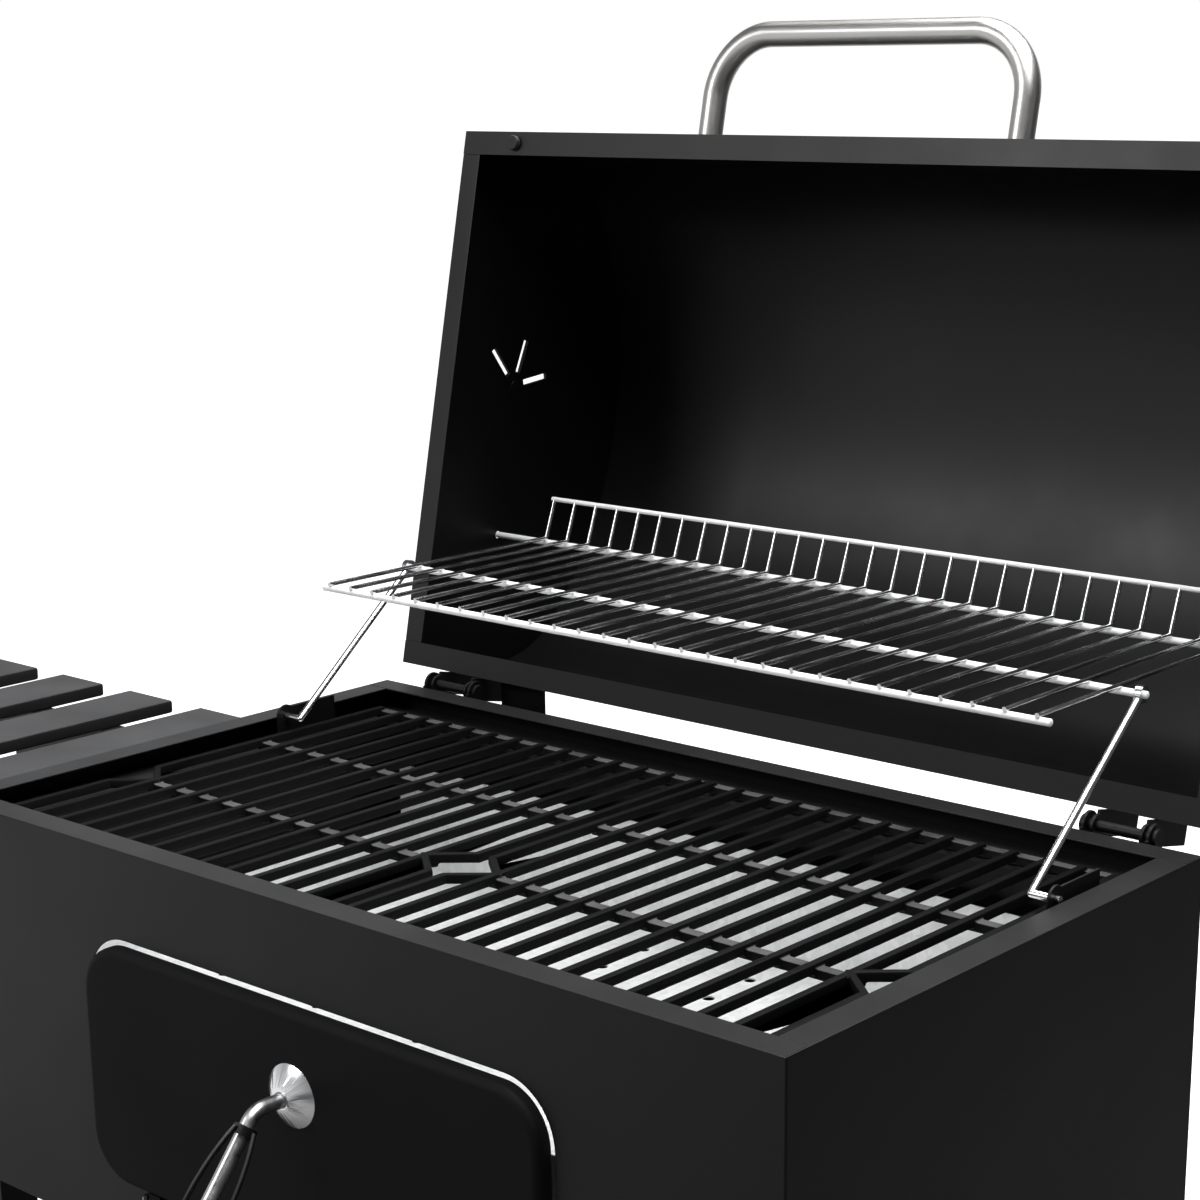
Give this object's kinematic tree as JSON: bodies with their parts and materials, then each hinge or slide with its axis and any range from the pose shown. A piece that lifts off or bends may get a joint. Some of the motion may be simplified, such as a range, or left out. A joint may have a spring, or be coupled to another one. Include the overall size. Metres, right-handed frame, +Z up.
{
  "type": "barbecue smoker cart",
  "caption": "Box-shaped charcoal barbecue on a wheeled cart, with a hinged arched hood open, slatted side shelf, split cast grates, swinging wire rack and a charcoal door.",
  "frame": {"origin": "centre of the bounding box's footprint, on the ground under the feet and wheels, at rest with the hood open", "axes": "+Z up, -Y out through the front with the door, +X towards the wheels, -X towards the side shelf"},
  "size_m": [1.17, 0.8763, 1.4109],
  "materials": {
    "body_black": "satin black powder coat",
    "hood_black": "satin black powder coat",
    "cart_black": "satin black powder coat",
    "shelf_black": "fine textured black powder coat",
    "cast_black": "matt black, lightly rough",
    "chrome_wire": "bright plated wire",
    "handle_steel": "brushed along the bar",
    "galvanised": "dull zinc coated sheet",
    "zinc_screw": "zinc plated",
    "rubber_black": "matt",
    "wheel_black": "moulded, matt",
    "cap_black": "moulded, matt"
  },
  "bodies": {
    "cart": {"front_panel": "body_black", "rear_panel": "body_black", "left_panel": "body_black", "right_panel": "body_black", "floor_panel": "body_black", "grate_ledge": "body_black", "pan_brackets": "body_black", "door_hinge_pins": "zinc_screw", "door_hinge_lugs": "body_black", "hinge_bracket_left": "body_black", "hinge_bracket_right": "body_black", "hinge_pins": "body_black", "hood_stop": "body_black", "rack_bracket_left": "body_black", "rack_bracket_right": "body_black", "shelf_slat_1": "shelf_black", "shelf_slat_2": "shelf_black", "shelf_slat_3": "shelf_black", "shelf_slat_4": "shelf_black", "shelf_rail_front": "cart_black", "shelf_rail_rear": "cart_black", "shelf_braces": "cart_black", "leg_front_left": "cart_black", "leg_front_right": "cart_black", "leg_rear_left": "cart_black", "leg_rear_right": "cart_black", "foot_caps": "cap_black", "frame_rails": "cart_black", "bottom_shelf": "cart_black", "axle": "zinc_screw", "axle_nuts": "zinc_screw", "frame_screws": "zinc_screw"},
    "hood": {"hood_shell": "hood_black", "hood_end_left": "hood_black", "hood_end_right": "hood_black", "hood_bumpers": "rubber_black", "hood_handle": "handle_steel", "handle_screws": "zinc_screw", "hinge_leaf_left": "body_black", "hinge_leaf_right": "body_black", "vent_rivets": "hood_black"},
    "damper_left": {"vent_damper_left": "hood_black"},
    "damper_right": {"vent_damper_right": "hood_black"},
    "rack_link_left": {"rack_leg_left": "chrome_wire"},
    "rack_link_right": {"rack_leg_right": "chrome_wire"},
    "rack": {"warming_rack": "chrome_wire"},
    "door": {"charcoal_door": "body_black", "door_rose": "chrome_wire"},
    "door_handle": {"door_handle_rod": "zinc_screw", "door_handle_cage": "cast_black", "latch_tongue": "zinc_screw", "latch_nut": "zinc_screw"},
    "pan": {"charcoal_pan": "galvanised"},
    "left_grate": {"grate_left": "cast_black"},
    "right_grate": {"grate_right": "cast_black"},
    "front_wheel": {"wheel_front": "wheel_black"},
    "rear_wheel": {"wheel_rear": "wheel_black"}
  },
  "joints": [
    {"name": "hood_hinge", "type": "hinge", "parent": "cart", "child": "hood", "pos_m": [0.134, 0.14794, 0.881], "axis": [1, 0, 0], "range_deg": [0, 102]},
    {"name": "rack_link_left_hinge", "type": "hinge", "parent": "cart", "child": "rack_link_left", "pos_m": [-0.214, -0.00206, 0.881], "axis": [1, 0, 0], "range_deg": [0, 102]},
    {"name": "rack_link_right_hinge", "type": "hinge", "parent": "cart", "child": "rack_link_right", "pos_m": [0.482, -0.00206, 0.881], "axis": [1, 0, 0], "range_deg": [0, 102]},
    {"name": "rack_hinge", "type": "hinge", "parent": "rack_link_left", "child": "rack", "pos_m": [-0.214, 0.12314, 0.98423], "axis": [1, 0, 0], "range_deg": [-102, 0]},
    {"name": "vent_left_turn", "type": "hinge", "parent": "hood", "child": "damper_left", "pos_m": [-0.25, 0.2975, 1.112], "axis": [1, 0, 0], "range_deg": [0, 30]},
    {"name": "vent_right_turn", "type": "hinge", "parent": "hood", "child": "damper_right", "pos_m": [0.518, 0.2975, 1.112], "axis": [1, 0, 0], "range_deg": [0, 30]},
    {"name": "door_hinge", "type": "hinge", "parent": "cart", "child": "door", "pos_m": [0.134, -0.31506, 0.634], "axis": [1, 0, 0], "range_deg": [0, 80]},
    {"name": "door_latch_turn", "type": "hinge", "parent": "door", "child": "door_handle", "pos_m": [0.134, -0.31, 0.756], "axis": [0, -1, 0], "range_deg": [0, 90]},
    {"name": "pan_lift", "type": "slide", "parent": "cart", "child": "pan", "axis": [0, 0, 1], "range_m": [0, 0.03]},
    {"name": "grate_left_lift", "type": "slide", "parent": "cart", "child": "left_grate", "axis": [0, 0, 1], "range_m": [0, 0.006]},
    {"name": "grate_right_lift", "type": "slide", "parent": "cart", "child": "right_grate", "axis": [0, 0, 1], "range_m": [0, 0.006]},
    {"name": "wheel_front_spin", "type": "hinge", "parent": "cart", "child": "front_wheel", "pos_m": [0.5, -0.3261, 0.085], "axis": [0, 1, 0], "continuous": true},
    {"name": "wheel_rear_spin", "type": "hinge", "parent": "cart", "child": "rear_wheel", "pos_m": [0.5, 0.1519, 0.085], "axis": [0, 1, 0], "continuous": true}
  ],
  "couplings": [
    {"joint": "rack_link_left_hinge", "follows": "hood_hinge", "ratio": 1},
    {"joint": "rack_link_right_hinge", "follows": "hood_hinge", "ratio": 1},
    {"joint": "rack_hinge", "follows": "hood_hinge", "ratio": -1}
  ]
}
